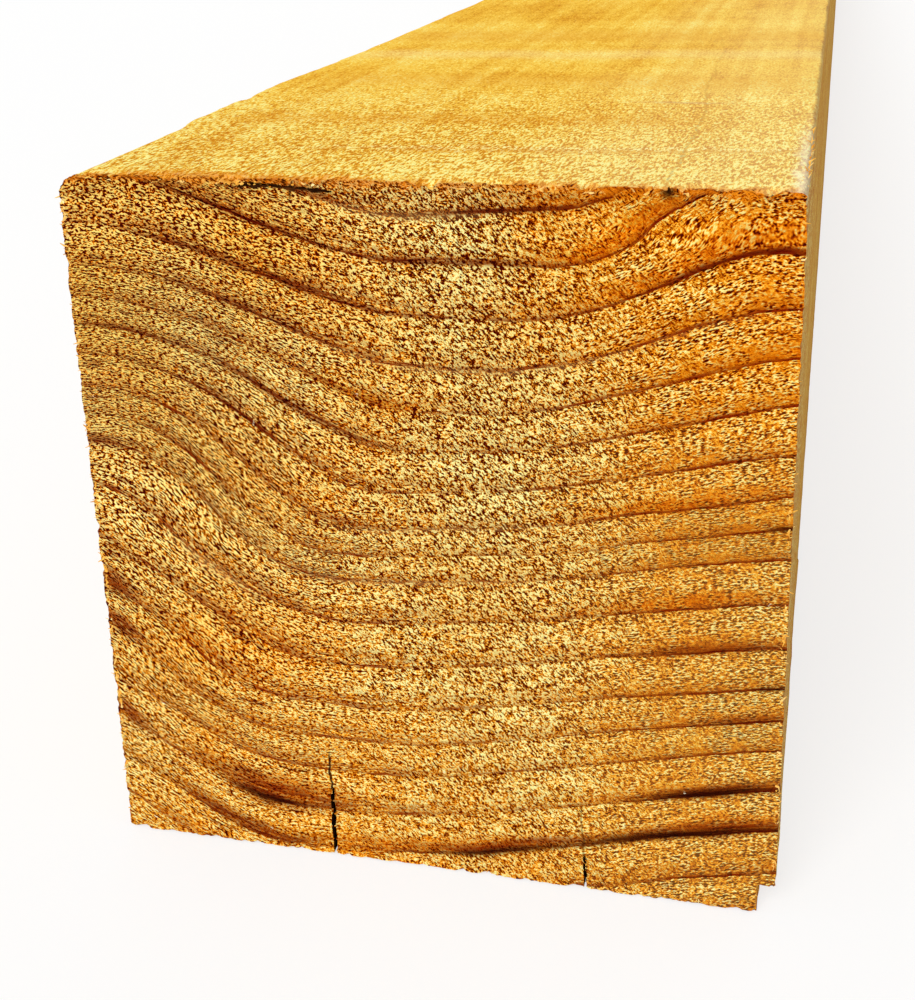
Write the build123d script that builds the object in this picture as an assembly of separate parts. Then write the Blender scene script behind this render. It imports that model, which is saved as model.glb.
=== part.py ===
# Sawn softwood beam, near square in section: one rough-sawn length with a bruised arris,
# drying checks that open at its front end and a splinter torn off one lower arris.
# Frame: origin at the bottom centre, X across the width, Y along the grain, Z up.
# All lengths are in millimetres.
import os

from build123d import *

# Stock, as sawn
section_width = 100.0
section_height = 105.0
stock_length = 1800.0

# Arrises: the upper left one is bruised round by handling, the others are only eased by the saw
bruised_arris_width = 4.5
bruised_arris_depth = 3.5
eased_arris_radius = 0.8

# Splinter torn off the lower right arris, widest at the front end and running out along the grain
splinter_width = 2.6
splinter_height = 4.5
splinter_root_radius = 0.7
splinter_run = 140.0

# Wide drying check, up from the bottom face
wide_check_place_share = 0.342
wide_check_mouth = 0.7
wide_check_depth = 12.5
wide_check_run = 90.0

# Short drying check, up from the bottom face
short_check_place_share = 0.726
short_check_mouth = 0.45
short_check_depth = 5.2
short_check_run = 45.0

# Upper drying check, down from the top face, drifting to the left as it follows the grain back
upper_check_place_share = 0.833
upper_check_mouth = 0.8
upper_check_depth = 1.8
upper_check_run = 230.0
upper_check_drift_share = -0.09

# How far a cutting shape stands past the faces that it cuts
cut_overrun = 1.0

front_end = Plane.XZ.offset(stock_length / 2)
right_side = section_width / 2
left_side = -section_width / 2


def place_across(share):
    # X of a point that lies a share of the width from the left side
    return left_side + share * section_width


def sawn_section():
    # Outline of the stock on its front end, with the four arrises
    bruise_start = (left_side, section_height - bruised_arris_depth)
    bruise_end = (left_side + bruised_arris_width, section_height)
    bruise_centre = (bruise_end[0], bruise_start[1])
    square_corners = [(right_side, section_height), (right_side, 0), (left_side, 0)]
    with BuildSketch(front_end) as section:
        with BuildLine():
            FilletPolyline(bruise_end, *square_corners, bruise_start, radius=eased_arris_radius)
            EllipticalCenterArc(
                bruise_centre, bruised_arris_width, bruised_arris_depth, start_angle=90, arc_size=90
            )
        make_face()
    return section.sketch


def run_out_cut(outline, tip, run, root_radius=0):
    # Shape that fills an outline on the front end and narrows to a tip, a run along the grain.
    # The outline is a list of (x, z) that starts with its inmost corner, the root.
    tip_x, tip_z = tip
    growth = (run + cut_overrun) / run
    grown = [(tip_x + (x - tip_x) * growth, tip_z + (z - tip_z) * growth) for x, z in outline]
    with BuildSketch(front_end.offset(cut_overrun)) as mouth:
        with BuildLine():
            if root_radius:
                FilletPolyline(grown[-1], grown[0], grown[1], radius=root_radius)
                Polyline(*grown[1:])
            else:
                Polyline(*grown, close=True)
        make_face()
    tip_point = front_end.offset(-run).from_local_coords((tip_x, tip_z, 0))
    return loft([mouth.sketch.face(), Vertex(tip_point)], ruled=True)


def drying_check(place_share, mouth, depth, run, surface, inward, drift_share=0):
    # Wedge-shaped split from a long face at height surface; inward is 1 to go up, -1 to go down
    place = place_across(place_share)
    half_mouth = mouth / 2 * (depth + cut_overrun) / depth
    root = (place, surface + inward * depth)
    outside = surface - inward * cut_overrun
    outline = [root, (place - half_mouth, outside), (place + half_mouth, outside)]
    return run_out_cut(outline, (place + drift_share * section_width, surface), run)


def torn_splinter():
    inner = right_side - splinter_width
    outer = right_side + cut_overrun
    below = -cut_overrun
    outline = [(inner, splinter_height), (outer, splinter_height), (outer, below), (inner, below)]
    return run_out_cut(outline, (right_side, 0), splinter_run, splinter_root_radius)


def timber_beam():
    beam = extrude(sawn_section(), -stock_length)
    beam -= torn_splinter()
    beam -= drying_check(
        wide_check_place_share, wide_check_mouth, wide_check_depth, wide_check_run, 0, 1
    )
    beam -= drying_check(
        short_check_place_share, short_check_mouth, short_check_depth, short_check_run, 0, 1
    )
    beam -= drying_check(
        upper_check_place_share,
        upper_check_mouth,
        upper_check_depth,
        upper_check_run,
        section_height,
        -1,
        upper_check_drift_share,
    )
    return beam


os.makedirs("parts", exist_ok=True)
export_step(timber_beam(), "parts/timber_beam.step")
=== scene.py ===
import math
import random

import bmesh
import bpy
from mathutils import Matrix, Vector


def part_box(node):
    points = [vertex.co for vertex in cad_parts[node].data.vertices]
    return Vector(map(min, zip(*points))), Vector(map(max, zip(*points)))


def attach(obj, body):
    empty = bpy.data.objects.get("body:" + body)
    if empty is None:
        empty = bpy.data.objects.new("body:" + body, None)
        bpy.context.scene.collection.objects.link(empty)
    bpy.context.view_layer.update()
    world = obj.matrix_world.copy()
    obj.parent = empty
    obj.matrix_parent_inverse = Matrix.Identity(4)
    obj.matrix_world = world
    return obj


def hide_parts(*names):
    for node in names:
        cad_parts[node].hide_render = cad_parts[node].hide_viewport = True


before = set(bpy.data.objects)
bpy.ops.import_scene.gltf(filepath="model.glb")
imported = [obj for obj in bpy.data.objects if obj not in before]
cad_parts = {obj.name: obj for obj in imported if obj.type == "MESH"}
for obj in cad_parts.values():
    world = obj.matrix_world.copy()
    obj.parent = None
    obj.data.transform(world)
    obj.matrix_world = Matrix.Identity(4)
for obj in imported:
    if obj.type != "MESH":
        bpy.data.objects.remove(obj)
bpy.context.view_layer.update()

low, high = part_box("timber_beam")
width, length, height = high - low
mm = 0.001
print("frame loaded, beam of", [round(side / mm, 1) for side in (width, length, height)], "mm")


def deselectAll():
    bpy.ops.object.select_all(action="DESELECT")


def makeActive(piece):
    deselectAll()
    piece.select_set(True)
    bpy.context.view_layer.objects.active = piece


def tint(red, green, blue):
    # screen colour, 0 to 255, as the linear colour that a node wants
    shares = [part / 255 for part in (red, green, blue)]
    return [share / 12.92 if share < 0.04045 else ((share + 0.055) / 1.055) ** 2.4 for share in shares] + [1]


class Wire:
    # a node socket that does sums
    def __init__(self, tree, socket=None):
        self.tree = tree
        self.socket = socket

    def node(self, kind, settings=None, inputs=None, output=0):
        made = self.tree.nodes.new(kind)
        for name, value in (settings or {}).items():
            if name == "stops":
                for _ in value[2:]:
                    made.color_ramp.elements.new(0.5)
                for stop, (place, colour) in zip(made.color_ramp.elements, value):
                    stop.position = place
                    stop.color = colour
            elif name == "points":
                curve = made.mapping.curves[0]
                for _ in value[2:]:
                    curve.points.new(0.5, 0.5)
                for point, place in zip(curve.points, value):
                    point.location = place
                    point.handle_type = "VECTOR"
                made.mapping.update()
            else:
                setattr(made, name, value)
        for key, value in (inputs or {}).items():
            if isinstance(value, Wire):
                self.tree.links.new(value.socket, made.inputs[key])
            else:
                made.inputs[key].default_value = value
        return Wire(self.tree, made.outputs[output])

    def pick(self, name):
        return Wire(self.tree, self.socket.node.outputs[name])

    def sum(self, operation, first, second=0.0):
        return self.node("ShaderNodeMath", {"operation": operation}, {0: first, 1: second})

    def __add__(self, other):
        return self.sum("ADD", self, other)

    def __radd__(self, other):
        return self.sum("ADD", other, self)

    def __sub__(self, other):
        return self.sum("SUBTRACT", self, other)

    def __rsub__(self, other):
        return self.sum("SUBTRACT", other, self)

    def __mul__(self, other):
        return self.sum("MULTIPLY", self, other)

    def __rmul__(self, other):
        return self.sum("MULTIPLY", other, self)

    def __truediv__(self, other):
        return self.sum("DIVIDE", self, other)

    def most(self, other):
        return self.sum("MAXIMUM", self, other)

    def least(self, other):
        return self.sum("MINIMUM", self, other)

    def size(self):
        return self.sum("ABSOLUTE", self)

    def root(self):
        return self.sum("SQRT", self)

    def fract(self):
        return self.sum("FRACT", self)

    def rise(self, start, end):
        # soft step from 0 to 1
        return self.node(
            "ShaderNodeMapRange",
            {"interpolation_type": "SMOOTHSTEP"},
            {"Value": self, "From Min": start, "From Max": end},
        )

    def spread(self, start, end, newStart=0.0, newEnd=1.0):
        # straight line between two values, held at its ends
        return self.node(
            "ShaderNodeMapRange",
            {},
            {"Value": self, "From Min": start, "From Max": end, "To Min": newStart, "To Max": newEnd},
        )

    def curve(self, points):
        return self.node("ShaderNodeFloatCurve", {"points": points}, {"Value": self})

    def scaled(self, factors):
        return self.node("ShaderNodeVectorMath", {"operation": "MULTIPLY"}, {0: self, 1: factors})

    def noise(self, scale, detail=2.0, roughness=0.5):
        return self.node(
            "ShaderNodeTexNoise",
            {},
            {"Vector": self, "Scale": scale, "Detail": detail, "Roughness": roughness},
        )

    def coated(self, colour, share, blend="MIX"):
        # this colour with another one laid over it
        return self.node(
            "ShaderNodeMix", {"data_type": "RGBA", "blend_type": blend}, {0: share, 6: self, 7: colour}, 2
        )

    def patch(self, middle, reach):
        # soft oval, 1 in the middle and 0 outside
        away = self.node("ShaderNodeVectorMath", {"operation": "SUBTRACT"}, {0: self, 1: (*middle, 0)})
        stretched = away.scaled((1 / reach[0], 1 / reach[1], 0))
        far = stretched.node("ShaderNodeVectorMath", {"operation": "LENGTH"}, {0: stretched}, 1)
        return far.rise(1, 0.15)


# growth rings: where the dark late-wood lines run through the trunk
growth = {
    "lineDepths": [
        -2.0, 4.7, 10.9, 18.5, 25.5, 31.9, 37.9, 44.1, 49.8, 54.1,
        58.1, 64.6, 71.7, 78.8, 84.7, 90.1, 97.4, 104.5, 111.9,
    ],  # mm below the top, at the lowest point of each line
    "spareWidth": 6.6,  # mm, rings deeper than those
    "spareRings": 7,
    "slope": 0.11,  # of the height for each metre along the grain
    "waver": 0.012,  # of the height, slow waves in a line
    "shiver": 0.004,  # of the height, small ones
}


def ringPlaces():
    depths = list(growth["lineDepths"])
    for _ in range(growth["spareRings"]):
        depths.append(depths[-1] + growth["spareWidth"])
    return [depth * mm / height for depth in depths]


def ringField(place):
    # ring number that grows from one dark line to the next, and the share across the section
    parts = place.node("ShaderNodeSeparateXYZ", {}, {0: place})
    across = (parts.pick("X") - low.x) / width
    depth = (high.z - parts.pick("Z")) / height
    back = parts.pick("Y") - low.y
    rightStart = 0.70 - 0.34 * depth.rise(0, 0.6) - 0.06 * depth.rise(0.8, 0.95)
    rightEnd = 0.95 + 0.35 * depth.rise(0, 0.75)
    rightRise = 0.10 + 0.067 * depth.rise(0.5, 0.85)
    leftStart = 0.5 - 0.12 * depth.rise(0.3, 0.55) - 0.09 * depth.rise(0.62, 0.78)
    leftEnd = 0.02 - 0.22 * depth.rise(0.3, 0.75)
    leftRise = 0.108 + 0.072 * depth.rise(0.08, 0.30) + 0.02 * depth.rise(0.5, 0.72)
    leftShare = (leftStart - across) / (leftStart - leftEnd)
    waver = place.scaled((1, 0.1, 1)).noise(60, 1) - 0.5
    shiver = place.scaled((1, 0.05, 1)).noise(330, 1) - 0.5
    sag = (
        depth
        + rightRise * across.rise(rightStart, rightEnd)
        + 0.018 * across.rise(0.5, 0.75) * depth.rise(0.08, 0.03)
        + leftRise * leftShare.rise(0, 1)
        + growth["slope"] * back
        + growth["waver"] * waver
        + growth["shiver"] * shiver
    )
    places = ringPlaces()
    first, last, count = places[0], places[-1], len(places) - 1
    points = [((p - first) / (last - first), index / count) for index, p in enumerate(places)]
    number = sag.spread(first, last).curve(points) * count
    return number, across


# the sawn stock as one mesh, fine on the front end and coarser along the length
stock = {
    "bruise": (3.4, 3.0),  # mm, upper left arris, across and down
    "bruiseWobble": 0.5,  # share by which the bruise comes and goes
    "fuller": 0.6,  # share by which it is slighter on one stretch
    "fullerStart": (37, 45),  # mm behind the front end, where that sets in
    "fullerEnd": (140, 80),  # mm, and where it has gone and starts to go
    "eased": 0.8,  # mm, the other arrises
    "panels": 7,  # equal cuts across each way before the fine ones
    "rows": (1.5, 5, 15, 40, 110, 300, 700, 1250, 1700, 1760, 1785, 1795, 1798.5),  # mm behind the front end
    "endCell": 0.46,  # mm, on the front end
    "rearCell": 1.8,  # mm, on the back end
    "sideCell": 3.5,  # mm
    "cellGrowth": 0.25,  # mm for each mm away from an end
    "firstRow": 1,  # mm, at the front end
    "firstGrowth": 0.3,
    "lastRow": 3,  # mm, at the back end
    "lastGrowth": 0.6,
    "rowLength": 3.2,  # mm
    "farRow": 52.0,  # mm
    "nearLength": 300,  # mm, with the short rows
    "rounds": 12,  # most times that an edge is halved
}


def cellLimit(middle, along):
    # longest edge that may stay at this place
    back, ahead = (middle.y - low.y) / mm, (high.y - middle.y) / mm
    if along:
        row = stock["rowLength"] if back < stock["nearLength"] else stock["farRow"]
        first = stock["firstRow"] + stock["firstGrowth"] * back
        last = stock["lastRow"] + stock["lastGrowth"] * ahead
        return min(row, first, last) * mm
    front = stock["endCell"] + stock["cellGrowth"] * back
    rear = stock["rearCell"] + stock["cellGrowth"] * ahead
    return min(stock["sideCell"], front, rear) * mm


def cutPlane(place, normal):
    bpy.ops.mesh.select_all(action="SELECT")
    bpy.ops.mesh.bisect(plane_co=place, plane_no=normal)


def makeStock():
    deselectAll()
    bpy.ops.mesh.primitive_cube_add(size=1, location=(low + high) / 2)
    piece = bpy.context.object
    piece.name = "sawn_beam"
    piece.scale = (width, length, height)
    bpy.ops.object.transform_apply(location=True, rotation=True, scale=True)
    bpy.ops.object.mode_set(mode="EDIT")
    bpy.ops.mesh.select_mode(type="EDGE")
    eased = stock["eased"] * mm
    bruiseWide, bruiseDeep = (part * mm for part in stock["bruise"])
    xStart, xEnd = low.x + bruiseWide, high.x - eased
    zStart, zEnd = low.z + eased, high.z - bruiseDeep
    xCuts = [low.x + eased, low.x + bruiseWide / 2]
    zCuts = [high.z - eased, high.z - bruiseDeep / 2]
    for index in range(stock["panels"] + 1):
        share = index / stock["panels"]
        xCuts.append(xStart + (xEnd - xStart) * share)
        zCuts.append(zStart + (zEnd - zStart) * share)
    for cut in xCuts:
        cutPlane((cut, 0, 0), (1, 0, 0))
    for cut in zCuts:
        cutPlane((0, 0, cut), (0, 0, 1))
    for row in stock["rows"]:
        cutPlane((0, low.y + row * mm, 0), (0, 1, 0))
    for _ in range(stock["rounds"]):
        bpy.ops.mesh.select_all(action="DESELECT")
        grid = bmesh.from_edit_mesh(piece.data)
        chosen = 0
        for edge in grid.edges:
            start, end = (vertex.co for vertex in edge.verts)
            along = abs(end.y - start.y) > 0.5 * (end - start).length
            if (end - start).length > cellLimit((start + end) / 2, along):
                edge.select_set(True)
                chosen += 1
        bmesh.update_edit_mesh(piece.data)
        if not chosen:
            break
        bpy.ops.mesh.subdivide(number_cuts=1, ngon=False)
    bpy.ops.object.mode_set(mode="OBJECT")
    print("stock meshed with", len(piece.data.polygons), "faces")
    return piece


def nodesModifier(piece, name, build):
    # a geometry nodes modifier, built and applied
    tree = bpy.data.node_groups.new(name, "GeometryNodeTree")
    tree.interface.new_socket("Geometry", in_out="INPUT", socket_type="NodeSocketGeometry")
    tree.interface.new_socket("Geometry", in_out="OUTPUT", socket_type="NodeSocketGeometry")
    wire = Wire(tree)
    shaped = build(wire, wire.node("NodeGroupInput"))
    end = tree.nodes.new("NodeGroupOutput")
    tree.links.new(shaped.socket, end.inputs[0])
    makeActive(piece)
    modifier = piece.modifiers.new(name, "NODES")
    modifier.node_group = tree
    bpy.ops.object.modifier_apply(modifier=name)


def roundArrises(wire, shape):
    # bends the four square arrises round; each corner square becomes a quarter of an oval
    place = wire.node("GeometryNodeInputPosition")
    parts = place.node("ShaderNodeSeparateXYZ", {}, {0: place})
    x, z = parts.pick("X"), parts.pick("Z")
    back = parts.pick("Y") - low.y
    wobble = 1 + stock["bruiseWobble"] * (place.scaled((0, 1, 0)).noise(34, 2) - 0.5)
    fullerStart, fullerEnd = ([edge * mm for edge in stock[name]] for name in ("fullerStart", "fullerEnd"))
    wobble = wobble - stock["fuller"] * back.rise(*fullerStart) * back.rise(*fullerEnd)
    eased = stock["eased"] * mm
    bruiseWide, bruiseDeep = (part * mm for part in stock["bruise"])
    moveX, moveZ = 0.0, 0.0
    for sideX, sideZ in ((-1, 1), (1, 1), (1, -1), (-1, -1)):
        bruised = (sideX, sideZ) == (-1, 1)
        wide = bruiseWide * wobble if bruised else eased
        deep = bruiseDeep * wobble if bruised else eased
        edgeX = low.x if sideX < 0 else high.x
        edgeZ = low.z if sideZ < 0 else high.z
        shareX = (1 - (edgeX - x) * sideX / wide).most(0)
        shareZ = (1 - (edgeZ - z) * sideZ / deep).most(0)
        moveX = moveX + sideX * wide * shareX * ((1 - shareZ * shareZ / 2).root() - 1)
        moveZ = moveZ + sideZ * deep * shareZ * ((1 - shareX * shareX / 2).root() - 1)
    offset = wire.node("ShaderNodeCombineXYZ", {}, {"X": moveX, "Z": moveZ})
    return wire.node("GeometryNodeSetPosition", {}, {"Geometry": shape, "Offset": offset})


# places on the end by share across and ring number, with their reach: stains, and pale ridges beside some
# lines that are painted highlight
stainsAndHighlights = {
    "burnt": [
        ((0.28, 1.95), (0.24, 0.15)), ((0.30, 2.94), (0.26, 0.16)), ((0.28, 3.95), (0.2, 0.12)),
        ((0.54, 1.94), (0.22, 0.15)), ((0.62, 0.95), (0.22, 0.12)),
        ((0.10, 5.96), (0.18, 0.13)), ((0.32, 5.92), (0.16, 0.2)), ((0.2, 6.94), (0.14, 0.13)),
        ((0.25, 15.75), (0.17, 0.6)), ((0.2, 16.85), (0.16, 0.3)), ((0.62, 16.85), (0.26, 0.26)),
        ((0.9, 16.85), (0.24, 0.28)), ((0.92, 15.88), (0.2, 0.24)), ((0.9, 2.95), (0.2, 0.1)),
        ((0.94, 13.9), (0.12, 0.2)), ((0.9, 11.9), (0.14, 0.2)), ((0.02, 9.9), (0.06, 0.3)),
        ((0.02, 12.8), (0.05, 0.4)), ((0.02, 13.8), (0.06, 0.4)), ((0.02, 15.8), (0.05, 0.4)),
    ],
    "charred": [
        ((0.85, 16.93), (0.24, 0.18)), ((0.6, 16.96), (0.18, 0.12)), ((0.9, 15.93), (0.14, 0.18)),
        ((0.99, 8.95), (0.04, 0.14)), ((0.985, 12.97), (0.05, 0.1)),
        ((0.24, 15.95), (0.09, 0.14)),
    ],
    "rusted": [
        ((0.5, 16.75), (0.24, 0.3)), ((0.92, 16.7), (0.16, 0.4)), ((0.82, 7.8), (0.2, 0.3)),
        ((0.84, 2.75), (0.14, 0.35)), ((0.76, 1.75), (0.12, 0.4)), ((0.85, 10.8), (0.22, 0.25)),
        ((0.95, 13.7), (0.14, 0.4)), ((0.26, 15.6), (0.2, 0.5)), ((0.4, 4.9), (0.2, 0.2)),
    ],
    # painted highlight: pale ridges beside some ring lines
    "ashen": [
        ((0.5, 1.0), (0.16, 0.14)), ((0.6, 4.02), (0.5, 0.07)), ((0.45, 10.0), (0.3, 0.1)),
        ((0.52, 8.03), (0.28, 0.08)), ((0.18, 11.05), (0.1, 0.2)),
    ],
}


def anyPatch(spot, places):
    share = 0.0
    for middle, reach in places:
        share = spot.patch(middle, reach).most(share)
    return share


relief = {
    "ring": 0.06,  # mm, how far late wood stands out
    "torn": 0.4,  # mm, torn fibres on the ends
    "wave": 0.3,  # mm, slow waves of the saw
    "side": 0.3,  # mm, fuzz on the long faces
    "saw": 0.16,  # mm, saw marks across the long faces
    "chip": 0.6,  # mm, chips along the arrises of the ends
    "topChip": 1.1,  # mm more along the top
    "chipReach": 3.4,  # mm
    "nick": 0.6,  # mm, nicks along the long arrises
    "nickReach": 2.6,  # mm
}
# how many waves of each noise fit in a metre, about
reliefScale = {"torn": 900, "wave": 55, "fuzz": 420, "saw": 85, "chip": 300, "nick": 160}


def nearness(value, start, end, reach):
    # 1 on the outside, 0 deeper in than the reach, and the way out
    inside = (value - start).least(end - value)
    offMiddle = value - (start + end) / 2
    return (1 - inside / reach).most(0), offMiddle.sum("SIGN", offMiddle)


def roughSurface(wire, shape):
    # relief of the sawn faces, all of it inwards, left off the walls of the checks
    place = wire.node("GeometryNodeInputPosition")
    normal = wire.node("GeometryNodeInputNormal")
    facing = wire.node("ShaderNodeSeparateXYZ", {}, {0: normal})
    endShare = facing.pick("Y").size().rise(0.35, 0.85)
    sawnFace = 1 - wire.node("GeometryNodeInputMaterialIndex").least(1)
    number, across = ringField(place)
    late = number.fract().curve([(0, 0.1), (0.06, 0), (0.9, 1), (0.94, 1), (1, 0.1)])
    torn = place.scaled((1, 0.3, 1)).noise(reliefScale["torn"], 2.5, 0.6)
    wave = place.noise(reliefScale["wave"], 1)
    endDepth = relief["ring"] * (1 - late) + relief["torn"] * (1 - torn) + relief["wave"] * (1 - wave)
    fuzz = place.scaled((1, 0.25, 1)).noise(reliefScale["fuzz"], 3, 0.6)
    sawn = place.scaled((0.08, 1, 0.08)).noise(reliefScale["saw"], 2)
    sideDepth = relief["side"] * (1 - fuzz) + relief["saw"] * (1 - sawn) + relief["ring"] * (1 - late)
    parts = place.node("ShaderNodeSeparateXYZ", {}, {0: place})
    x, y, z = (parts.pick(axis) for axis in "XYZ")
    # chips and nicks push an arris inwards on the slant
    reach = relief["chipReach"] * mm
    nearX, _ = nearness(x, low.x, high.x, reach)
    nearY, outY = nearness(y, low.y, high.y, reach)
    nearZ, _ = nearness(z, low.z, high.z, reach)
    chipSize = relief["chip"] * mm + relief["topChip"] * mm * z.rise(high.z - 6 * mm, high.z - 2 * mm)
    chipped = chipSize * place.noise(reliefScale["chip"], 3, 0.65).rise(0.42, 0.8) * nearY
    reach = relief["nickReach"] * mm
    sideX, outX = nearness(x, low.x, high.x, reach)
    sideZ, outZ = nearness(z, low.z, high.z, reach)
    nicks = place.scaled((1, 0.5, 1)).noise(reliefScale["nick"], 3, 0.6)
    nicked = relief["nick"] * mm * nicks.rise(0.4, 0.8) * sideX * sideZ
    pushed = wire.node(
        "ShaderNodeCombineXYZ",
        {},
        {
            "X": (chipped * nearX + nicked) * outX * -1,
            "Y": chipped * nearX.most(nearZ) * outY * -1,
            "Z": (chipped * nearZ + nicked) * outZ * -1,
        },
    )
    soft = 1 - 0.5 * nearY * nearX.most(nearZ)
    sunk = (sideDepth + (endDepth - sideDepth) * endShare) * soft * sawnFace * -mm
    sinking = wire.node("ShaderNodeVectorMath", {"operation": "SCALE"}, {0: normal, "Scale": sunk})
    offset = wire.node("ShaderNodeVectorMath", {"operation": "ADD"}, {0: sinking, 1: pushed})
    # what the finish needs to know, kept on the mesh
    spot = wire.node("ShaderNodeCombineXYZ", {}, {"X": across, "Y": number})
    fields = {"endShare": endShare, "rightFace": facing.pick("X").rise(0.4, 0.8), "ring": number}
    for name, places in stainsAndHighlights.items():
        fields[name] = anyPatch(spot, places)
    for name, value in fields.items():
        shape = wire.node(
            "GeometryNodeStoreNamedAttribute",
            {"data_type": "FLOAT", "domain": "POINT"},
            {"Geometry": shape, "Name": name, "Value": value},
        )
    return wire.node("GeometryNodeSetPosition", {}, {"Geometry": shape, "Offset": offset})


# sawn wood, end grain and long grain in one finish
wood = {
    "fibres": [
        (0.04, tint(72, 4, 0)), (0.24, tint(142, 50, 0)), (0.43, tint(208, 112, 2)),
        (0.58, tint(246, 162, 24)), (0.76, tint(255, 204, 78)), (0.97, tint(255, 250, 168)),
    ],  # from the bottom of a pit to the tip of a torn fibre: the grain's own colours, with painted shade in the pits and painted highlight on the fibre tips
    "gold": tint(192, 154, 74),
    "late": tint(226, 178, 104),
    "line": tint(148, 68, 24),
    "rust": tint(248, 208, 124),
    "burn": tint(158, 80, 34),
    "char": tint(100, 68, 58),
    # painted highlight: pale grey-beige along the ridge beside some lines
    "ash": tint(206, 152, 84),
    # painted shade in the hairline cracks and the pit
    "crack": tint(50, 22, 6),
    "felt": [
        (0.1, tint(208, 130, 18)), (0.38, tint(242, 184, 54)), (0.58, tint(254, 212, 84)),
        (0.85, tint(255, 246, 152)),
    ],  # the fuzz of the long faces
    "torn": tint(236, 126, 12),
    "crumb": tint(120, 56, 10),
    "pale": tint(255, 240, 176),
    "bright": tint(255, 250, 220),
    # painted shade of the right face
    "side": tint(112, 64, 70),
}
# end grain: the noises that make it
grain = {
    "streaks": (16, 5, 20),  # times across the width, for each ring and for each metre back
    "hairs": (0.6, 2.8, 1),  # how much finer than the streaks, the same three ways
    "lying": (9.4, 4.5, 6),
    "leaning": 3250,  # waves in a metre, about, as for the rest
    "coarse": 700,
    "cloud": 45,
    "gain": 4.6,  # how far the fibres reach on the scale of colours
    "middle": 0.555,  # plain wood on that scale
    "height": 0.13,  # mm, of the finest pits
    "pit": ((0.033, 0.1043), (0.0016, 0.0013)),  # m, painted shade in the pit in the upper arris, and its reach
}
# long faces: waves in a metre of the noises that make them, about
nap = {"fuzz": 2300, "crumbs": 480, "sawn": 70, "streaks": 330, "cloud": 60}
# hairline cracks on the front end, painted as dark lines of shade: from and to in mm across and up, with the
# share of dark
hairlines = [
    ((-15.9, 11.5), (-16.0, 18.2), 0.95),
    ((22.5, 5.5), (22.0, 14.8), 0.55),
    ((-16.1, 105.0), (-16.4, 102.0), 0.8),
]
# marks across the top: mm back, slant, half width and reach across in mm, tint, how much, how broken
topMarks = [
    {
        "back": 24, "slant": 0.09, "half": 2.2, "from": -16, "to": 54,
        "tint": (255, 250, 190), "share": 0.8, "broken": 0.9,
    },
    {
        "back": 22, "slant": 0.09, "half": 1.6, "from": -6, "to": 54,
        "tint": (214, 128, 24), "share": 0.9, "broken": 0.8,
    },
    {
        "back": 127, "slant": 0, "half": 11, "from": -45, "to": 60,
        "tint": (255, 238, 168), "share": 0.45, "broken": 0.5,
    },
    {
        "back": 66, "slant": 0.01, "half": 1.8, "from": 26, "to": 31,
        "tint": (206, 160, 124), "share": 0.7, "broken": 0.3,
    },
    {
        "back": 48, "slant": 0.02, "half": 7, "from": -40, "to": 30,
        "tint": (230, 160, 44), "share": 0.4, "broken": 0.3,
    },
    {
        "back": 90, "slant": -0.02, "half": 12, "from": -40, "to": 45,
        "tint": (232, 166, 54), "share": 0.35, "broken": 0.2,
    },
    {
        "back": 160, "slant": 0, "half": 16, "from": -45, "to": 60,
        "tint": (234, 170, 60), "share": 0.35, "broken": 0.1,
    },
]


def field(wire, name):
    # a value that the mesh carries
    return wire.node("ShaderNodeAttribute", {"attribute_name": name}, {}, 2)


def crackShare(x, z, stray, crack):
    # painted shade along a straight crack that strays a little
    (startX, startZ), (endX, endZ), share = crack
    climb = (z - startZ * mm) / ((endZ - startZ) * mm)
    gap = (x - startX * mm - climb * (endX - startX) * mm + stray).size()
    inside = climb.rise(-0.06, 0.04) * climb.rise(1.06, 0.8)
    return gap.rise(0.26 * mm, 0.08 * mm) * inside * share


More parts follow.
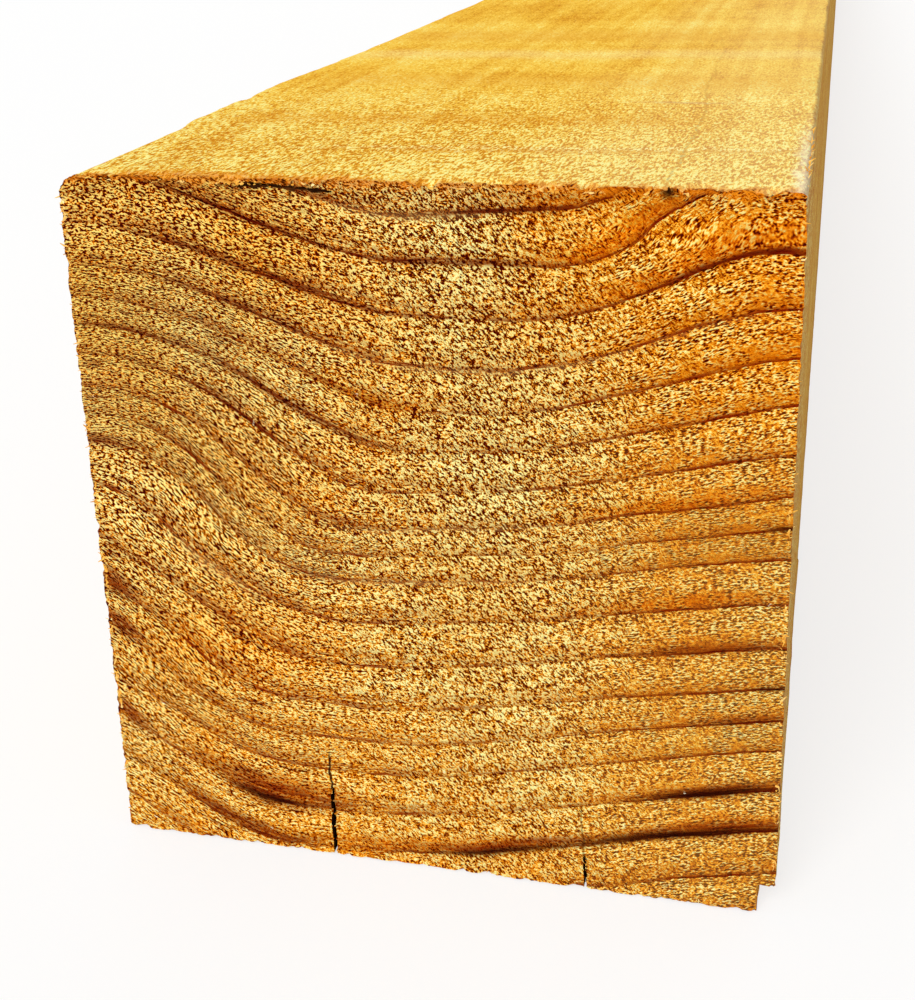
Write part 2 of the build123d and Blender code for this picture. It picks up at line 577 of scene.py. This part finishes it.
def endGrain(wire, place, ring, back):
    # colour of the crosscut ends and the height of their pits and fibres
    parts = place.node("ShaderNodeSeparateXYZ", {}, {0: place})
    x, y, z = (parts.pick(axis) for axis in "XYZ")
    across = (x - low.x) / width
    phase = ring.fract()
    # streaks, strands and one half of the torn fibres follow the rings
    acrossTimes, ringTimes, backTimes = grain["streaks"]
    along = {"X": across * acrossTimes, "Y": ring * ringTimes, "Z": y * backTimes}
    along = wire.node("ShaderNodeCombineXYZ", {}, along)
    streak = along.noise(1.0, 2, 0.6)
    hairs = along.scaled(grain["hairs"]).noise(1.0, 2, 0.65)
    lying = along.scaled(grain["lying"]).noise(1.0, 1.4, 0.8)
    # the other half leans down to the right
    coarse = place.scaled((1, 0.15, 1)).noise(grain["coarse"], 1, 0.5)
    bend = (coarse - 0.5) * 0.7 * mm
    lean = {"X": (x - z) * 0.45, "Y": y * 0.15, "Z": x * 0.9 + z + bend}
    leaning = wire.node("ShaderNodeCombineXYZ", {}, lean).noise(grain["leaning"], 1.5, 0.8)
    cloud = place.scaled((1, 0.2, 1)).noise(grain["cloud"], 1, 0.5)
    stagger = across + 0.8 * (coarse - 0.5)
    leanShare = stagger.rise(0.3, 0.5) * stagger.rise(0.9, 0.7)
    speckle = (lying + (leaning - lying) * leanShare - 0.5) * grain["gain"]
    # where on the end this is, and how calm the grain is there
    leftSlope = across.rise(0.02, 0.16) * across.rise(0.54, 0.38)
    depth = (high.z - z) / height
    rightSide = (across + 0.12 * depth.rise(0.35, 0.05)).rise(0.6, 0.92)
    calm = wire.node("ShaderNodeCombineXYZ", {}, {"X": across, "Y": depth}).patch((0.55, 0.82), (0.6, 0.3))
    smooth = phase.rise(0.4, 0.85) * (0.22 + 0.3 * rightSide)
    leftSide = across.rise(0.5, 0.2)
    contrast = (1.74 - 0.82 * depth - 0.12 * calm) * (1 + 0.16 * leftSide * depth.rise(0.9, 0.5))
    contrast = contrast * (1 - (0.62 - 0.56 * depth) * rightSide) - 0.12 * leftSide * depth.rise(0.8, 0.95)
    contrast = contrast - 0.5 * smooth + 1.6 * rightSide * (coarse - 0.5)
    pitted = speckle * (contrast - 0.8 * (cloud - 0.5))
    shade = (streak - 0.5) * 0.55 + (hairs - 0.5) * 0.7 + 0.05 * calm + 0.02 * leftSide
    shade = shade - 0.05 * phase.rise(0.3, 0) - (0.14 * depth - 0.04) * rightSide
    shade = shade - 0.04 * depth.rise(0.3, 0.1)
    shade = grain["middle"] + pitted + shade
    # the ramp paints shade into the pits and highlight onto the fibre tips, along with the grain's colour
    fibres = wire.node("ShaderNodeValToRGB", {"stops": wood["fibres"]}, {"Fac": shade})
    golden = fibres.coated(wood["gold"], rightSide * depth.rise(0.2, 0.5) * 0.2)
    # late wood darkens to a line that comes and goes
    strand = (hairs + 0.06 * speckle).rise(0.44, 0.55)
    lateShare = 0.2 - 0.05 * leftSlope + 0.2 * rightSide + 1.4 * (streak - 0.5) + 0.3 * (strand - 0.5)
    uneven = (2.2 - 1.3 * rightSide) * (streak - 0.5)
    weight = 0.55 + 0.25 * leftSlope + 0.25 * rightSide + uneven + 0.15 * speckle
    thin = phase.rise(0.92, 0.965) * (0.3 + 0.9 * rightSide + uneven)
    line = phase.rise(0.85, 0.945) * weight * (0.25 + 0.75 * strand.most(thin))
    strands = strand * phase.rise(0.4, 0.9) * (0.25 + 0.45 * leftSlope)
    strands = strands.most(streak.rise(0.48, 0.3) * leftSide * 0.6)  # dark streaks between the lines
    patchy = (0.75 + 1.6 * (hairs - 0.5) + 0.22 * speckle).most(0).least(1)
    ringed = golden.coated(wood["late"], phase.rise(0.5, 0.98) * lateShare.most(0).least(1), "MULTIPLY")
    # stains and a painted highlight, each laid over the last
    warm = 0.3 - 0.2 * depth + 0.4 * leftSide * (1 - 0.8 * depth)
    warm = warm + (0.26 - 0.6 * depth) * rightSide + (cloud - 0.5) * 1.2
    warm = (warm + field(wire, "rusted") * 0.6).most(0).least(1)
    rusted = ringed.coated(wood["rust"], warm, "MULTIPLY")
    # painted highlight along the ridge beside some ring lines
    ashen = rusted.coated(wood["ash"], field(wire, "ashen") * 0.5 * patchy)
    lined = ashen.coated(wood["line"], line.most(strands).most(0).least(1), "MULTIPLY")
    singed = lined.coated(wood["burn"], field(wire, "burnt") * patchy, "MULTIPLY")
    burned = singed.coated(wood["char"], field(wire, "charred") * (0.4 + patchy).least(1), "MULTIPLY")
    # darker brown under the upper arris, orange crumbs on it
    under = high.z - z + (coarse - 0.5) * 3 * mm
    browned = burned.coated(wood["burn"], under.rise(4.5 * mm, 1.5 * mm) * 0.2, "MULTIPLY")
    crumbs = under.rise(1.3 * mm, 0.5 * mm) * (0.4 + 0.6 * speckle).most(0).least(0.7)
    crumbled = browned.coated(wood["torn"], crumbs)
    flecked = crumbled.coated(wood["bright"], (coarse + 0.12 * speckle).rise(0.84, 0.88) * 0.6)
    stray = (coarse - 0.5) * 0.8 * mm
    # painted shade along the hairline cracks and in the pit
    crackShaded = 0.0
    for crack in hairlines:
        crackShaded = crackShare(x, z, stray, crack).most(crackShaded)
    # painted shade in the pit in the upper arris
    pit = wire.node("ShaderNodeCombineXYZ", {}, {"X": x + bend, "Y": z}).patch(*grain["pit"])
    crackShaded = (pit * 0.9).most(crackShaded)
    front = back.rise(20 * mm, 10 * mm)
    return flecked.coated(wood["crack"], crackShaded * front), speckle * grain["height"], coarse


def longGrain(wire, place, ring, back):
    # colour of the sawn long faces and the height of their fuzz
    parts = place.node("ShaderNodeSeparateXYZ", {}, {0: place})
    x, z = parts.pick("X"), parts.pick("Z")
    phase = ring.fract()
    upper = z.rise(high.z - 3 * mm, high.z - 1.2 * mm)
    near = back.rise(110 * mm, 0)
    # the fuzz is combed along the grain
    combed = wire.node("ShaderNodeCombineXYZ", {}, {"X": x - back * 0.05, "Y": back * 0.3, "Z": z})
    fuzz = combed.noise(nap["fuzz"], 2, 0.75)
    crumbs = place.scaled((1, 0.35, 1)).noise(nap["crumbs"], 2, 0.65)
    sawn = place.scaled((0.08, 1, 0.08)).noise(nap["sawn"], 1)
    streaks = place.scaled((1, 0.012, 1)).noise(nap["streaks"], 1.5, 0.6)
    cloud = place.scaled((1, 0.4, 1)).noise(nap["cloud"], 1)
    felt = 0.45 + (fuzz - 0.5) * (1.2 + 3.5 * near) + (crumbs - 0.5) * (0.4 + 0.7 * near)
    felt = felt + (sawn - 0.5) * 0.3 + (cloud - 0.5) * 0.35 + (streaks - 0.5) * (0.5 - 0.3 * near)
    plain = wire.node("ShaderNodeValToRGB", {"stops": wood["felt"]}, {"Fac": felt})
    ringed = plain.coated(wood["late"], phase.rise(0.6, 0.97) * (0.8 - 0.7 * upper), "MULTIPLY")
    marked = ringed.coated(wood["pale"], (x + (cloud - 0.5) * 0.03).rise(0.0, 0.05) * 0.22 * upper)
    for mark in topMarks:
        away = back - mark["back"] * mm - mark["slant"] * x
        away = (away + (cloud - 0.5) * 6 * mm + (crumbs - 0.5) * 8 * mark["broken"] * mm).size()
        here = x.rise((mark["from"] - 10) * mm, (mark["from"] + 6) * mm)
        here = here * x.rise((mark["to"] + 8) * mm, (mark["to"] - 4) * mm) * upper
        gaps = (1 - mark["broken"] * (1.6 - 3.2 * (fuzz - 0.3))).most(0).least(1)
        share = away.rise(mark["half"] * mm, 0.1 * mark["half"] * mm) * here * gaps * mark["share"]
        marked = marked.coated(tint(*mark["tint"]), share)
    # orange, crumbling edge at the ends
    edge = back + (cloud - 0.5) * 5 * mm + (crumbs - 0.5) * 8 * mm
    ragged = (0.2 + 1.6 * (fuzz - 0.3)).most(0).least(0.85)
    torn = marked.coated(wood["torn"], edge.rise(4.5 * mm, 0.6 * mm) * ragged)
    crumbled = torn.coated(wood["crumb"], edge.rise(2.6 * mm, 0.4 * mm) * fuzz.rise(0.5, 0.4) * 0.8)
    # hairline crack that runs back from the pit in the upper arris, painted as a dark line of shade
    split = x - 0.0332 + 0.24 * back * back + (cloud - 0.5) * 4 * mm + (crumbs - 0.5) * 1.6 * mm
    split = split.size().rise(0.36 * mm, 0.08 * mm) * upper * back.rise(0.22, 0.02)
    crackShaded = crumbled.coated(wood["line"], split * (2.4 * (fuzz - 0.42)).most(0).least(0.5), "MULTIPLY")
    # pale torn fibres along the upper right arris, near the front
    frayed = (x + (crumbs - 0.5) * 5 * mm).rise(high.x - 3.0 * mm, high.x - 0.8 * mm) * upper
    frayed = frayed * (back + (crumbs - 0.5) * 60 * mm).rise(60 * mm, 20 * mm)
    frayed = crackShaded.coated(wood["bright"], frayed * 0.5)
    # painted shade: the right face is tinted brown as if it lay in shadow
    shaded = frayed.coated(wood["side"], field(wire, "rightFace") * 0.44)
    return shaded, (fuzz - 0.5) * 0.3


def sawnWood():
    material = bpy.data.materials.new("sawnWood")
    material.use_nodes = True
    tree = material.node_tree
    shader = tree.nodes["Principled BSDF"]
    wire = Wire(tree)
    place = wire.node("ShaderNodeTexCoord").pick("Object")
    back = wire.node("ShaderNodeSeparateXYZ", {}, {0: place}).pick("Y") - low.y
    ring = field(wire, "ring")
    endColour, endHeight, coarse = endGrain(wire, place, ring, back)
    longColour, longHeight = longGrain(wire, place, ring, back)
    overEdge = back.rise(5 * mm, 0) * (coarse - 0.45).most(0) * 3
    endMask = (field(wire, "endShare") + (coarse - 0.5) * 0.5 + overEdge).rise(0.4, 0.6)
    bump = wire.node(
        "ShaderNodeBump",
        {},
        {"Strength": 1.0, "Distance": mm, "Height": longHeight + (endHeight - longHeight) * endMask},
    )
    tree.links.new(longColour.coated(endColour, endMask).socket, shader.inputs["Base Color"])
    tree.links.new(bump.socket, shader.inputs["Normal"])
    shader.inputs["Roughness"].default_value = 0.9
    shader.inputs["Specular IOR Level"].default_value = 0.02
    return material


def shadedCheckWalls():
    # painted shade: the walls inside the checks and the slit are dark brown, as if in shadow
    material = bpy.data.materials.new("shadedCheckWalls")
    material.use_nodes = True
    tree = material.node_tree
    shader = tree.nodes["Principled BSDF"]
    wire = Wire(tree)
    place = wire.node("ShaderNodeTexCoord").pick("Object")
    fibre = place.scaled((1, 0.05, 1)).noise(900, 2)
    walls = wire.node(
        "ShaderNodeValToRGB", {"stops": [(0.3, tint(34, 14, 4)), (0.7, tint(86, 44, 14))]}, {"Fac": fibre}
    )
    tree.links.new(walls.socket, shader.inputs["Base Color"])
    shader.inputs["Roughness"].default_value = 0.9
    shader.inputs["Specular IOR Level"].default_value = 0.02
    return material


# drying checks: share across, mouth, depth and run in mm, which way in,
# and how far each level strays sideways in mm from the face to the root
checks = {
    "wideCheck": {
        "share": 0.342, "mouth": 0.34, "depth": 12.2, "run": 90, "inward": 1,
        "stray": (0, 0, 0.05, -0.1, 0.1, -0.02, 0.12),
    },
    "shortCheck": {
        "share": 0.727, "mouth": 0.22, "depth": 6.0, "run": 45, "inward": 1,
        "stray": (0, 0, -0.1, 0.05, -0.12, -0.05, -0.2),
    },
    "upperPit": {
        "share": 0.833, "mouth": 1.3, "depth": 1.0, "run": 3.5, "inward": -1,
        "stray": (0, 0, 0, 0, -0.1, -0.2, -0.4),
    },
}
taper = (1, 0.84, 0.68, 0.52, 0.36, 0.2, 0.05)  # width and depth left, from the front end to the tip
slit = {"from": (-23.8, 104.3), "to": (-10.5, 103.4), "gap": 0.32, "deep": 2.2}  # mm, under a loose sliver
splinter = {"wide": 2.6, "tall": 4.5, "run": 140}  # mm, torn off the lower right arris
overrun = 1.5 * mm  # how far a cutter stands past the faces


def selectWhere(piece, test):
    # vertices chosen by their place, in edit mode
    bpy.ops.mesh.select_all(action="DESELECT")
    grid = bmesh.from_edit_mesh(piece.data)
    for vertex in grid.verts:
        vertex.select_set(test(vertex.co))
    grid.select_flush_mode()
    bmesh.update_edit_mesh(piece.data)


def wedgeCutter(name, split):
    # a box over the split, pinched at its root and where it runs out
    place = low.x + split["share"] * width
    surface = low.z if split["inward"] > 0 else high.z
    over = overrun
    outside = surface - split["inward"] * over
    deep, run, mouth = split["depth"] * mm, split["run"] * mm, split["mouth"] * mm
    middle = surface + split["inward"] * (deep - over) / 2
    deselectAll()
    bpy.ops.mesh.primitive_cube_add(size=1, location=(place, low.y + (run - over) / 2, middle))
    piece = bpy.context.object
    piece.name = name
    piece.scale = (mouth, run + over, deep + over)
    bpy.ops.object.transform_apply(location=True, rotation=True, scale=True)
    bpy.ops.object.mode_set(mode="EDIT")
    bpy.ops.mesh.select_mode(type="VERT")
    root = surface + split["inward"] * deep
    selectWhere(piece, lambda co: abs(co.z - root) < 0.1 * mm)
    bpy.ops.transform.resize(value=(0.2, 1, 1), center_override=(place, 0, root))
    bpy.ops.mesh.select_all(action="SELECT")
    bpy.ops.mesh.subdivide(number_cuts=len(split["stray"]) - 2)
    levels = len(split["stray"]) - 1
    for index, stray in enumerate(split["stray"]):
        level = outside + split["inward"] * (deep + over) * index / levels
        selectWhere(piece, lambda co: abs(co.z - level) < 0.01 * mm)
        bpy.ops.transform.translate(value=(stray * mm, 0, 0))
    # narrower and shallower towards the tip
    for index in range(1, levels + 1):
        row = low.y - over + (run + over) * index / levels
        share = taper[index]
        selectWhere(piece, lambda co: abs(co.y - row) < 0.01 * mm)
        bpy.ops.transform.resize(value=(share, 1, share), center_override=(place, row, outside))
    bpy.ops.object.mode_set(mode="OBJECT")
    return piece


def splinterCutter():
    # a rough wedge over the lower right arris
    over = overrun
    wide, tall, run = (splinter[part] * mm for part in ("wide", "tall", "run"))
    deselectAll()
    middle = (high.x + (over - wide) / 2, low.y + (run - over) / 2, low.z + (tall - over) / 2)
    bpy.ops.mesh.primitive_cube_add(size=1, location=middle)
    piece = bpy.context.object
    piece.name = "splinterCutter"
    piece.scale = (wide + over, run + over, tall + over)
    bpy.ops.object.transform_apply(location=True, rotation=True, scale=True)
    bpy.ops.object.mode_set(mode="EDIT")
    bpy.ops.mesh.select_mode(type="VERT")
    selectWhere(piece, lambda co: co.y > low.y + run - 0.1 * mm)
    tip = (high.x + over, low.y + run, low.z - over)
    bpy.ops.transform.resize(value=(0.3, 1, 0.2), center_override=tip)
    bpy.ops.mesh.select_all(action="SELECT")
    bpy.ops.mesh.subdivide(number_cuts=9)
    bpy.ops.transform.vertex_random(offset=0.14 * mm, seed=5)
    bpy.ops.object.mode_set(mode="OBJECT")
    return piece


def slitCutter():
    # thin blade on the slant, just under the upper edge of the front end
    (startX, startZ), (endX, endZ) = slit["from"], slit["to"]
    span = math.hypot(endX - startX, endZ - startZ) * mm
    fall = math.atan2(startZ - endZ, endX - startX)
    middle = ((startX + endX) / 2 * mm, low.y + (slit["deep"] * mm - overrun) / 2, (startZ + endZ) / 2 * mm)
    deselectAll()
    bpy.ops.mesh.primitive_cube_add(size=1, location=middle, rotation=(0, fall, 0))
    piece = bpy.context.object
    piece.name = "slitCutter"
    piece.scale = (span, slit["deep"] * mm + overrun, slit["gap"] * mm)
    bpy.ops.object.transform_apply(location=True, rotation=True, scale=True)
    bpy.ops.object.mode_set(mode="EDIT")
    bpy.ops.mesh.select_mode(type="VERT")
    selectWhere(piece, lambda co: co.x > middle[0])
    bpy.ops.transform.resize(value=(1, 1, 0.15), center_override=(0, 0, endZ * mm))
    bpy.ops.mesh.select_all(action="SELECT")
    bpy.ops.mesh.subdivide(number_cuts=3)
    bpy.ops.object.mode_set(mode="OBJECT")
    return piece


def cutSplits(piece, finish, walls):
    cutters = [wedgeCutter(name, split) for name, split in checks.items()] + [slitCutter()]
    for cutter in cutters:
        # the walls of the checks and the slit take the painted shade
        cutter.data.materials.append(walls)
    cutters.append(splinterCutter())
    cutters[-1].data.materials.append(finish)
    for cutter in cutters:
        makeActive(piece)
        modifier = piece.modifiers.new("cut", "BOOLEAN")
        modifier.object = cutter
        modifier.solver = "EXACT"
        modifier.material_mode = "TRANSFER"
        bpy.ops.object.modifier_apply(modifier="cut")
        bpy.data.objects.remove(cutter)


# where each face lies on the map for baked colours: corner, then size along and across
bakeMap = {
    "front": ((0.004, 0.33), (0.63, 0.6615)),
    "back": ((0.68, 0.33), (0.27, 0.2835)),
    "topNear": ((0.68, 0.66), (0.316, 0.336)),
    "walls": ((0.957, 0.33), (0.039, 0.3)),
    "strips": {"top": (0.004, 0.07), "bottom": (0.084, 0.07), "left": (0.164, 0.07), "right": (0.244, 0.07)},
    "stripEnds": (0.004, 0.992),
    "nearShare": 0.5,  # of a strip, for the part near the front
}


def mapPlace(area, along, across):
    (startU, startV), (sizeU, sizeV) = bakeMap[area]
    return startU + sizeU * along, startV + sizeV * across


def stripPlace(side, along, across):
    (startV, sizeV), (startU, sizeU) = bakeMap["strips"][side], bakeMap["stripEnds"]
    return startU + sizeU * along, startV + sizeV * across


def facePlace(normal, back, co):
    # a corner's place on the map, by the way its face looks
    across, up, along = (co.x - low.x) / width, (co.z - low.z) / height, (co.y - low.y) / length
    nearEnd = stock["nearLength"] * mm / length
    if abs(normal.y) > max(abs(normal.x), abs(normal.z)):
        return mapPlace("front" if normal.y < 0 else "back", across, up)
    if normal.z > abs(normal.x):
        if back < nearEnd:
            return mapPlace("topNear", along / nearEnd, across)
        return stripPlace("top", (along - nearEnd) / (1 - nearEnd), across)
    near = bakeMap["nearShare"]
    if back < nearEnd:
        along = near * along / nearEnd
    else:
        along = near + (1 - near) * (along - nearEnd) / (1 - nearEnd)
    if -normal.z > abs(normal.x):
        return stripPlace("bottom", along, across)
    return stripPlace("left" if normal.x < 0 else "right", along, up)


def layMap(piece):
    # one flat map, most of it for the front end
    while piece.data.uv_layers:
        piece.data.uv_layers.remove(piece.data.uv_layers[0])
    piece.data.uv_layers.new(name="OFBake")
    makeActive(piece)
    bpy.ops.object.mode_set(mode="EDIT")
    bpy.ops.mesh.select_mode(type="FACE")
    bpy.ops.mesh.select_all(action="DESELECT")
    grid = bmesh.from_edit_mesh(piece.data)
    for face in grid.faces:
        face.select_set(face.material_index == 1)
    bmesh.update_edit_mesh(piece.data)
    bpy.ops.uv.smart_project(angle_limit=1.15, island_margin=0.02, scale_to_bounds=True)
    grid = bmesh.from_edit_mesh(piece.data)
    layer = grid.loops.layers.uv["OFBake"]
    for face in grid.faces:
        back = (face.calc_center_median().y - low.y) / length
        for corner in face.loops:
            if face.material_index == 1:
                corner[layer].uv = mapPlace("walls", *corner[layer].uv)
            else:
                corner[layer].uv = facePlace(face.normal, back, corner.vert.co)
    bmesh.update_edit_mesh(piece.data)
    bpy.ops.object.mode_set(mode="OBJECT")


woodFinish = sawnWood()
beam = makeStock()
beam.data.materials.clear()
beam.data.materials.append(woodFinish)
cutSplits(beam, woodFinish, shadedCheckWalls())
nodesModifier(beam, "arrises", roundArrises)
layMap(beam)
nodesModifier(beam, "relief", roughSurface)
makeActive(beam)
bpy.ops.object.shade_smooth_by_angle(angle=math.radians(50))
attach(beam, "root")
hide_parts("timber_beam")
print("splits cut and relief applied,", len(beam.data.polygons), "faces")

# loose fibres that stand off the torn arrises
fray = {
    "seed": 11,
    "thick": (0.24, 0.6),  # mm
    "sunk": 0.35,  # mm, how deep a fibre starts in the wood
    "tints": [(0.3, tint(206, 128, 30)), (0.5, tint(246, 184, 76)), (0.7, tint(255, 232, 160))],
    # from and to in mm across, behind the front end and up; which way they stand; how many; how long in mm
    "edges": [
        {
            "from": (-49.6, 0.4, 2), "to": (-49.6, 0.4, 102),
            "out": (-1, -0.2, 0), "count": 150, "long": (0.6, 1.3),
        },
        {
            "from": (49.6, 0.4, 6), "to": (49.6, 0.4, 104),
            "out": (1, -0.2, 0), "count": 80, "long": (0.5, 1.1),
        },
        {
            "from": (-46, 0.6, 104.2), "to": (49, 0.6, 104.2),
            "out": (0, -0.6, 1), "count": 130, "long": (0.5, 1.2),
        },
        {
            "from": (-49, 0.4, 0.9), "to": (46, 0.4, 0.9),
            "out": (0, -1, -0.2), "count": 70, "long": (0.5, 1.0),
        },
        {
            "from": (49.4, 1, 104.2), "to": (49.4, 45, 104.2),
            "out": (0.3, 0, 1), "count": 40, "long": (0.6, 1.6),
        },
        {
            "from": (-48.6, 4, 103.2), "to": (-48.6, 120, 103.2),
            "out": (-1, 0, 0.8), "count": 90, "long": (0.6, 1.5),
        },
    ],
}


def fibreFinish():
    material = bpy.data.materials.new("looseFibre")
    material.use_nodes = True
    tree = material.node_tree
    shader = tree.nodes["Principled BSDF"]
    wire = Wire(tree)
    place = wire.node("ShaderNodeTexCoord").pick("Object")
    shade = place.noise(420, 2)
    colour = wire.node("ShaderNodeValToRGB", {"stops": fray["tints"]}, {"Fac": shade})
    tree.links.new(colour.socket, shader.inputs["Base Color"])
    shader.inputs["Roughness"].default_value = 0.85
    shader.inputs["Specular IOR Level"].default_value = 0.02
    return material


def oneFibre():
    # a thin cone, 1 long and 1 thick, with a kink
    deselectAll()
    bpy.ops.mesh.primitive_cone_add(vertices=5, radius1=0.5, radius2=0.1, depth=1, location=(0, 0, 0.5))
    piece = bpy.context.object
    bpy.ops.object.transform_apply(location=True, rotation=True, scale=True)
    bpy.ops.object.mode_set(mode="EDIT")
    cutPlane((0, 0, 0.55), (0, 0, 1))
    bpy.ops.mesh.select_mode(type="VERT")
    selectWhere(piece, lambda co: co.z > 0.9)
    bpy.ops.transform.translate(value=(0.9, 0.3, 0))
    bpy.ops.object.mode_set(mode="OBJECT")
    return piece


def makeFibres():
    chance = random.Random(fray["seed"])
    foot = Vector((0, low.y, low.z))
    first = oneFibre()
    first.data.materials.append(fibreFinish())
    made = []
    for edge in fray["edges"]:
        start, end = (Vector(edge[side]) * mm for side in ("from", "to"))
        out = Vector(edge["out"]).normalized()
        ahead = (end - start).normalized()
        for _ in range(edge["count"]):
            way = out * chance.uniform(0.2, 0.8) + ahead * chance.uniform(-1.5, 1.5)
            way = (way + Vector([chance.uniform(-0.3, 0.3) for _ in range(3)])).normalized()
            long, thick = chance.uniform(*edge["long"]) * mm, chance.uniform(*fray["thick"]) * mm
            place = foot + start.lerp(end, chance.random()) - out * fray["sunk"] * mm
            spun = Matrix.Rotation(chance.uniform(0, 6.28), 3, "Z")
            turned = way.to_track_quat("Z", "Y").to_matrix() @ spun
            fibre = first.copy()
            fibre.data = first.data.copy()
            bpy.context.collection.objects.link(fibre)
            shaped = (turned @ Matrix.Diagonal((thick, thick, long))).to_4x4()
            fibre.data.transform(Matrix.Translation(place) @ shaped)
            made.append(fibre)
    bpy.data.objects.remove(first)
    makeActive(made[0])
    for fibre in made:
        fibre.select_set(True)
    bpy.ops.object.join()
    piece = bpy.context.object
    piece.name = "torn_fibres"
    bpy.ops.object.shade_smooth_by_angle(angle=math.radians(50))
    return piece


fibres = makeFibres()
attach(fibres, "root")
print("arrises frayed,", len(fibres.data.polygons), "faces")

# floor, light and camera
studio = {
    "floor": 30.0,  # m
    "floorTint": tint(250, 250, 249),
    "keyTurn": (47, -14, 0),  # degrees
    "key": 1.9,
    "keyAngle": 30,
    "fill": 0.62,
    "lift": 0.72,  # how much of the shadow on the floor is lifted
}
deselectAll()
bpy.ops.mesh.primitive_plane_add(size=studio["floor"], location=(0, 0, low.z - 0.2 * mm))
floor = bpy.context.object
floor.name = "floor"


def seenShare(wire):
    # 1 for what the camera sees, straight or in gloss and glass
    light = wire.node("ShaderNodeLightPath")
    bounced = light.pick("Is Glossy Ray").most(light.pick("Is Transmission Ray"))
    return light.pick("Is Camera Ray").most(bounced)


floorPaint = bpy.data.materials.new("floorPaint")
floorPaint.use_nodes = True
paint = floorPaint.node_tree.nodes["Principled BSDF"]
paint.inputs["Base Color"].default_value = studio["floorTint"]
paint.inputs["Roughness"].default_value = 0.9
wire = Wire(floorPaint.node_tree)
glow = wire.node("ShaderNodeEmission")
painted = Wire(wire.tree, paint.outputs[0])
lifted = wire.node("ShaderNodeMixShader", {}, {0: seenShare(wire) * studio["lift"], 1: painted, 2: glow})
wire.tree.links.new(lifted.socket, wire.tree.nodes["Material Output"].inputs["Surface"])
floor.data.materials.append(floorPaint)

world = bpy.data.worlds.new("studio")
bpy.context.scene.world = world
world.use_nodes = True
wire = Wire(world.node_tree)
backdrop = world.node_tree.nodes["Background"]
strength = studio["fill"] + (1 - studio["fill"]) * seenShare(wire)
world.node_tree.links.new(strength.socket, backdrop.inputs["Strength"])
backdrop.inputs["Color"].default_value = (1, 1, 1, 1)

bpy.ops.object.light_add(type="SUN", rotation=[math.radians(turn) for turn in studio["keyTurn"]])
key = bpy.context.object
key.data.energy = studio["key"]
key.data.angle = math.radians(studio["keyAngle"])

view = {
    "stand": (52.1, -178.2, 144.0),  # mm from the bottom middle of the front end
    "aim": (5.8, 0, 82.3),
    "roll": -1.71,  # degrees
    "lens": 35.4,  # mm on a picture 24 mm high
    "shift": -0.148,
}
bpy.ops.object.camera_add()
eye = bpy.context.object
frontFoot = Vector(((low.x + high.x) / 2, low.y, low.z))
stand = frontFoot + Vector(view["stand"]) * mm
ahead = frontFoot + Vector(view["aim"]) * mm - stand
turned = ahead.to_track_quat("-Z", "Y").to_matrix() @ Matrix.Rotation(math.radians(view["roll"]), 3, "Z")
eye.matrix_world = Matrix.Translation(stand) @ turned.to_4x4()
eye.data.sensor_fit = "VERTICAL"
eye.data.sensor_height = 24
eye.data.lens = view["lens"]
eye.data.shift_y = view["shift"]
eye.data.clip_start = 0.01
bpy.context.scene.camera = eye
bpy.context.scene.view_settings.view_transform = "Standard"
print("camera set")
